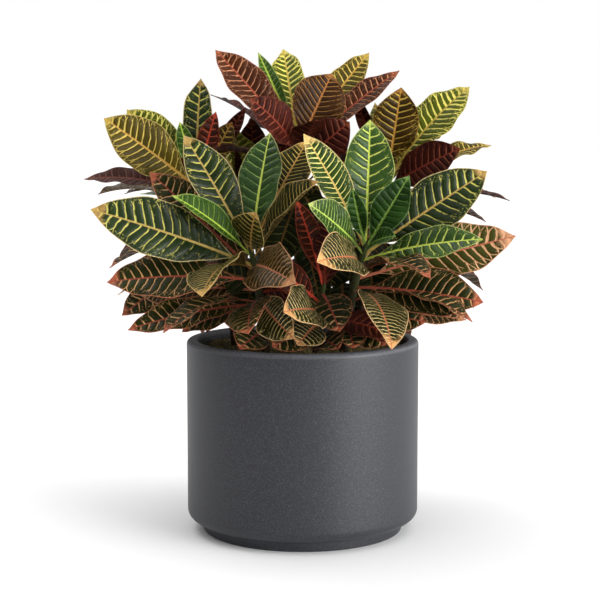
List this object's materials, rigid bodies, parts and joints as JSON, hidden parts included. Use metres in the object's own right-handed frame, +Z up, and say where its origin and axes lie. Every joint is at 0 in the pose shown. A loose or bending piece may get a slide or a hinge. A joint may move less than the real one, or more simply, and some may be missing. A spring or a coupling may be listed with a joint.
{
  "type": "potted croton",
  "caption": "Leafy croton with variegated veined leaves growing from several stems in a cylindrical planter with a moss-covered soil surface.",
  "frame": {"origin": "centre of the planter's underside, on the surface it stands on", "axes": "+Z up, +Y towards the back of the plant, +X to the right seen from the front"},
  "size_m": [0.5178, 0.4794, 0.5831],
  "materials": {
    "planter": "matte, finely speckled dark grey composite",
    "soil": "rough potting soil, standing in for soil",
    "moss": "fibrous dry moss, standing in for moss",
    "foliage": "leathery semi-gloss leaves, standing in for living leaf and stem"
  },
  "bodies": {
    "root": {"planter": "planter", "potting_soil": "soil", "moss_cover": "moss", "front_left_stem": "foliage", "front_right_stem": "foliage", "low_front_stem": "foliage", "middle_stem": "foliage", "left_stem": "foliage", "right_stem": "foliage", "back_left_stem": "foliage", "back_right_stem": "foliage"}
  },
  "joints": []
}
